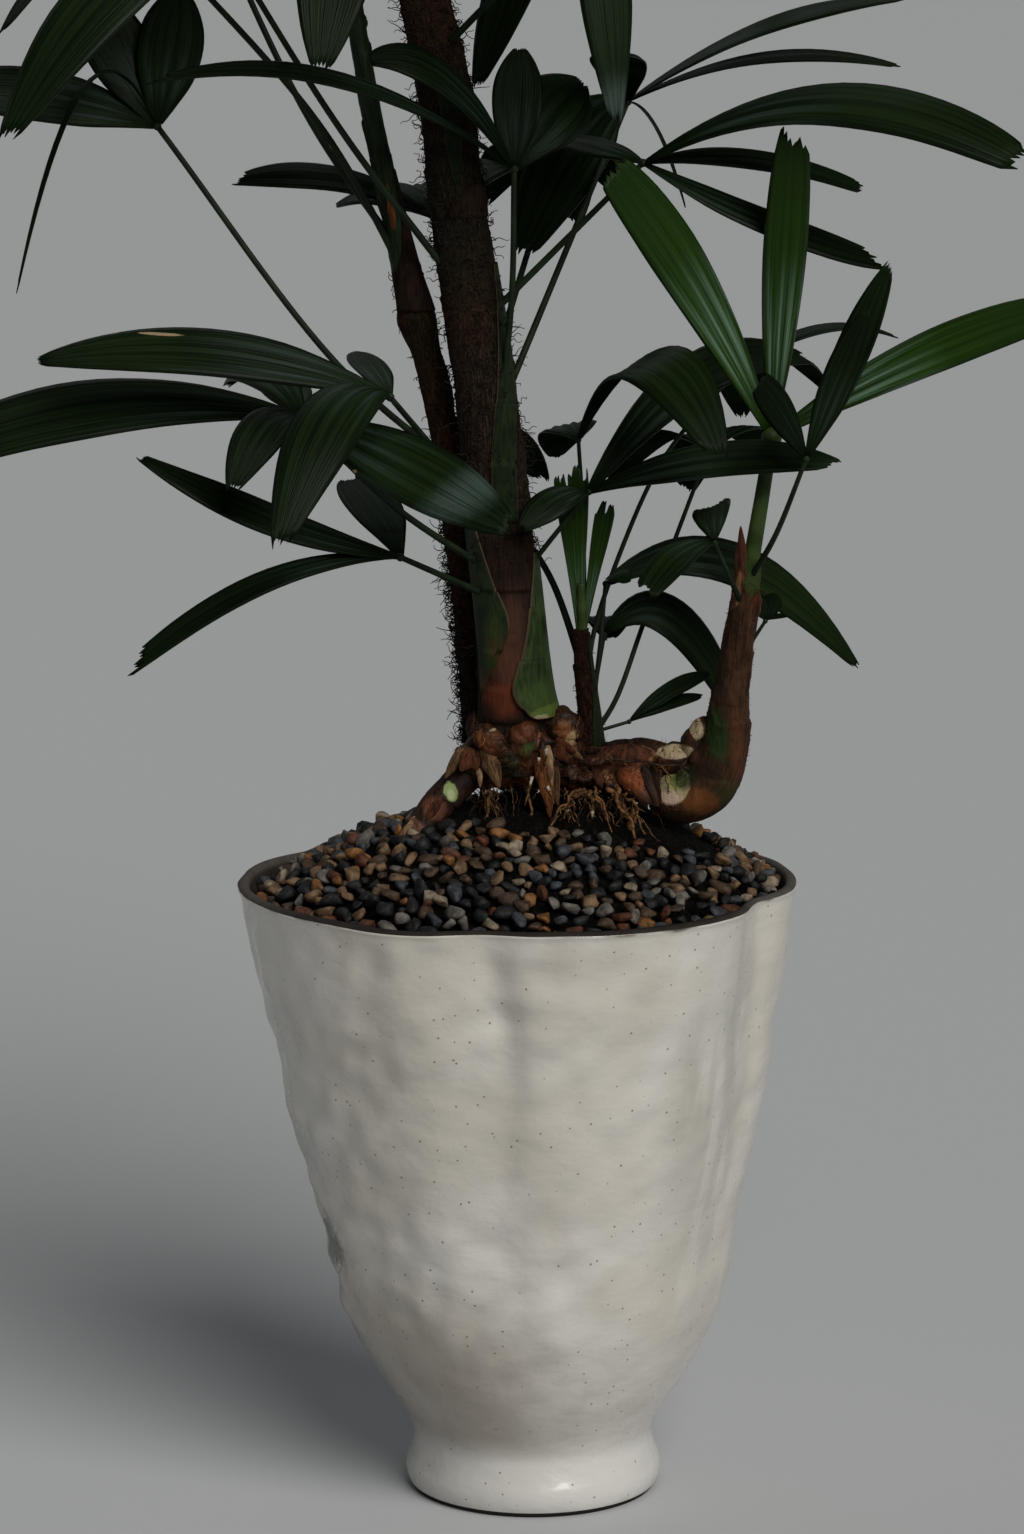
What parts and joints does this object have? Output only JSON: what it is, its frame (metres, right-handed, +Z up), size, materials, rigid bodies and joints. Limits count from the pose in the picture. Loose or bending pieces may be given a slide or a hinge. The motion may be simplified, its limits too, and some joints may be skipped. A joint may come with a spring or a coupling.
{
  "type": "potted lady palm",
  "caption": "Small clumping lady palm with bare rhizome, arching stems and fan fronds, growing in a tall footed glazed pot filled with grit and topped with gravel.",
  "frame": {"origin": "centre of the pot's flat underside", "axes": "+Z up, +X to the right seen from the plant's front, and the front faces -Y"},
  "size_m": [0.4615, 0.3346, 0.8549],
  "materials": {
    "pot_glaze": "gloss",
    "gravel": "matte",
    "stem_bark": "matte",
    "frond_green": "satin",
    "young_frond": "satin"
  },
  "bodies": {
    "root": {"pot": "pot_glaze", "soil_bed": "gravel", "rhizome": "stem_bark", "left_shoot": "stem_bark", "main_trunk": "stem_bark", "side_trunk": "stem_bark", "middle_shoot": "stem_bark", "right_shoot": "stem_bark", "frond_front_left": "frond_green", "frond_left": "frond_green", "frond_low_left": "frond_green", "frond_far_left": "frond_green", "frond_back_left": "frond_green", "frond_mid_right": "frond_green", "frond_inner_right": "frond_green", "frond_upper_right": "frond_green", "frond_right": "frond_green", "frond_arched": "frond_green", "frond_low_right": "frond_green", "frond_low_back": "frond_green", "frond_seedling": "frond_green", "frond_bright": "young_frond", "frond_dark": "frond_green", "frond_cupped": "frond_green", "frond_withered": "frond_green", "spear": "young_frond", "frond_back": "frond_green", "frond_back_right": "frond_green", "frond_shaded_high": "frond_green", "frond_shaded_low": "frond_green", "frond_crown_front_left": "frond_green", "frond_crown_left": "frond_green", "frond_crown_back_left": "frond_green", "frond_crown_front": "frond_green", "frond_crown_front_right": "frond_green", "frond_crown_back_right": "frond_green", "frond_top_left": "frond_green", "frond_top_front": "frond_green", "frond_top_right": "frond_green", "frond_top_back": "frond_green", "frond_top_young": "young_frond"}
  },
  "joints": []
}
